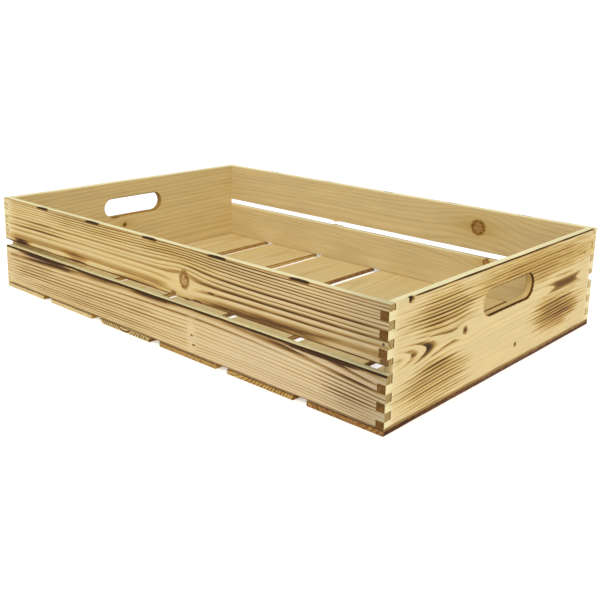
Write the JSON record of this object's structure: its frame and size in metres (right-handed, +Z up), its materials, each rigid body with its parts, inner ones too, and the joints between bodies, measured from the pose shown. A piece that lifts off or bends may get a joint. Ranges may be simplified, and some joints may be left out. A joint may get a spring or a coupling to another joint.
{
  "type": "wooden produce crate",
  "caption": "Shallow open-topped softwood crate with finger-jointed corners, slatted long sides, spaced floor boards and a rounded handhole in each end.",
  "frame": {"origin": "middle of the footprint, on the surface that the crate stands on", "axes": "+X along the long sides to the right end panel, +Y from the front long side to the back one, +Z up"},
  "size_m": [0.6, 0.4, 0.1165],
  "materials": {
    "flamed_end_panel": "planed pine, torch-flamed outside, matt",
    "flamed_slat": "planed pine, torch-flamed outside, matt",
    "floor_pine": "planed pine, matt",
    "staple_wire": "galvanised wire",
    "brad_steel": "darkened steel"
  },
  "bodies": {
    "root": {"end_panel_left": "flamed_end_panel", "end_panel_right": "flamed_end_panel", "front_upper_slat": "flamed_slat", "front_lower_slat": "flamed_slat", "back_upper_slat": "flamed_slat", "back_lower_slat": "flamed_slat", "floor_board_1": "floor_pine", "floor_board_2": "floor_pine", "floor_board_3": "floor_pine", "floor_board_4": "floor_pine", "floor_board_5": "floor_pine", "floor_board_6": "floor_pine", "floor_staples": "staple_wire", "corner_brads": "brad_steel"}
  },
  "joints": []
}
